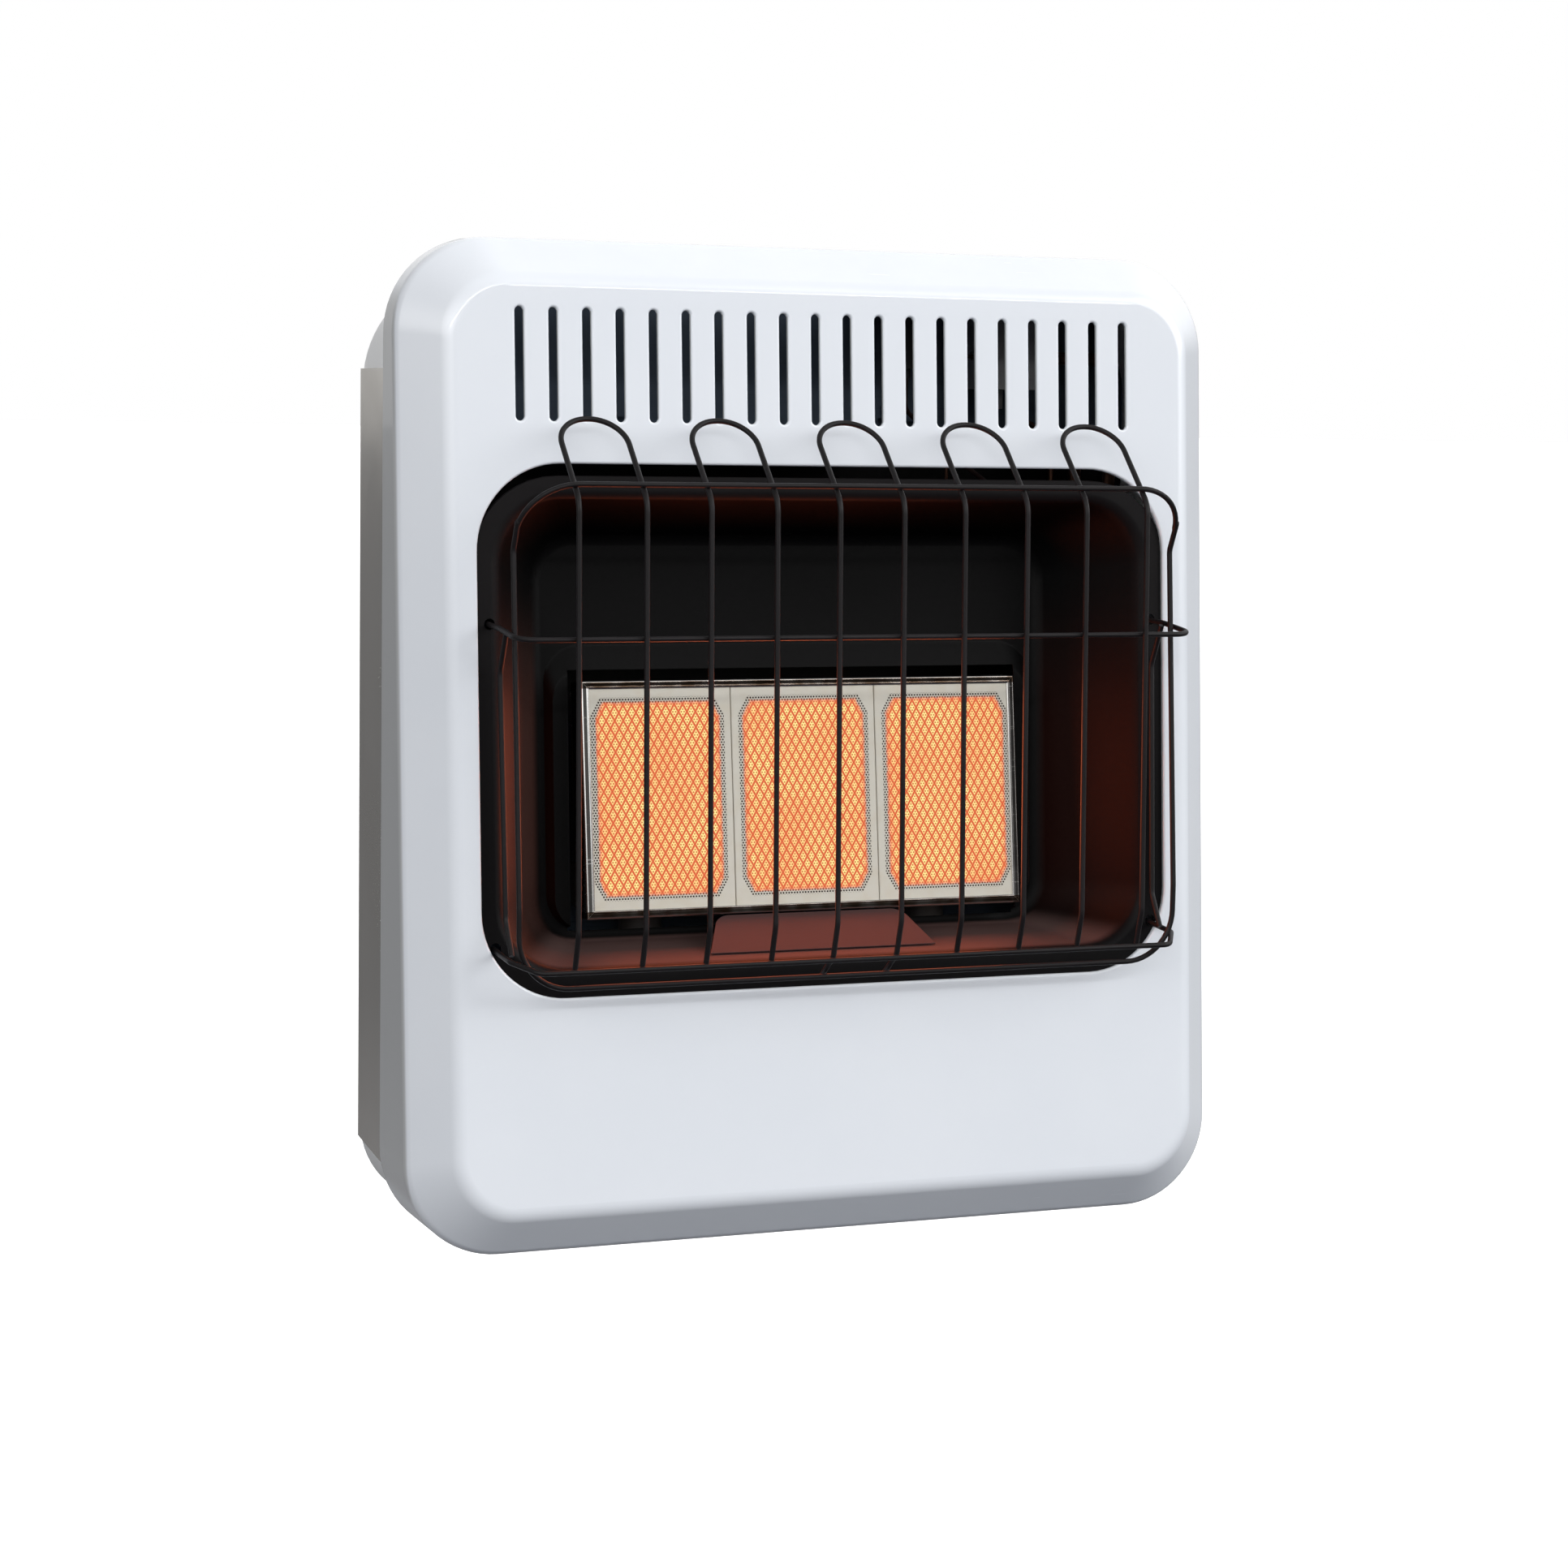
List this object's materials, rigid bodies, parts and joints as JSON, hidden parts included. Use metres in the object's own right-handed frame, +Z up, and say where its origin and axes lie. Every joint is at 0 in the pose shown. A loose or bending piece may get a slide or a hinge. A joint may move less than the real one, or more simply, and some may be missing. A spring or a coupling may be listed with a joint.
{
  "type": "wall mounted gas heater",
  "caption": "Flat wall heater: a leaning enamelled front casing with a window, a radiant plaque burner in a dark bowl and a wire guard.",
  "frame": {"origin": "middle of the wall bracket's screw line, on the wall plane", "axes": "+Z up, +X to the right seen from the front, +Y into the wall; the heater's front faces -Y"},
  "size_m": [0.512, 0.1951, 0.5828],
  "materials": {
    "enamel": "gloss",
    "cabinet": "satin",
    "skin": "satin",
    "zinc": "satin",
    "black_enamel": "satin",
    "plaque": "matte",
    "fibre": "matte",
    "chrome": "polished",
    "burner_steel": "matte",
    "brass": "satin",
    "casting": "cast",
    "dial": "satin",
    "black_plastic": "fine grain",
    "copper": "satin",
    "lead": "satin"
  },
  "bodies": {
    "heater": {"front_casing": "enamel", "cabinet_band": "cabinet", "rear_panel": "zinc", "side_skin_left": "skin", "side_skin_right": "skin", "wall_bracket": "zinc", "heat_shield": "zinc", "top_baffle": "zinc", "reflector_bowl": "black_enamel", "burner_box": "burner_steel", "burner_gasket": "fibre", "plaque_left": "plaque", "plaque_middle": "plaque", "plaque_right": "plaque", "burner_bezel": "chrome", "pilot_deflector": "black_enamel", "manifold": "zinc", "gas_orifices": "brass", "mixer_tubes": "casting", "burner_bracket_left": "zinc", "burner_bracket_right": "zinc", "pilot_bracket": "zinc", "pilot_burner": "brass", "spark_electrode": "plaque", "thermocouple": "brass", "gas_valve": "casting", "dial_plate": "dial", "ignitor_body": "black_plastic", "ignitor_nut": "zinc", "control_bracket": "zinc", "regulator": "casting", "regulator_bracket": "zinc", "inlet_fitting": "brass", "supply_pipe": "copper", "burner_pipe": "copper", "pilot_pipe": "copper", "ignition_lead": "lead", "thermocouple_lead": "copper", "guard_frame_wire": "black_enamel", "guard_middle_wire": "black_enamel", "guard_bottom_wire": "black_enamel", "guard_side_wires": "black_enamel", "guard_hairpin_1": "black_enamel", "guard_hairpin_2": "black_enamel", "guard_hairpin_3": "black_enamel", "guard_hairpin_4": "black_enamel", "guard_hairpin_5": "black_enamel", "casing_screws": "zinc", "bowl_stay_left": "zinc", "bowl_stay_right": "zinc"},
    "push_collar": {"push_collar": "zinc"},
    "knob": {"valve_spindle": "brass", "control_knob": "black_plastic"},
    "button": {"ignitor_button": "black_plastic"}
  },
  "joints": [
    {"name": "collar_push", "type": "slide", "parent": "heater", "child": "push_collar", "axis": [0, 0, -1], "range_m": [0, 0.004], "stiffness_N_per_m": 900, "springref_m": -0.003},
    {"name": "knob_turn", "type": "hinge", "parent": "push_collar", "child": "knob", "pos_m": [0.15, -0.038, 0.095], "axis": [0, 0, 1], "range_deg": [0, 180]},
    {"name": "ignitor_push", "type": "slide", "parent": "heater", "child": "button", "axis": [0, 0, -1], "range_m": [0, 0.006], "stiffness_N_per_m": 800, "springref_m": -0.002}
  ]
}
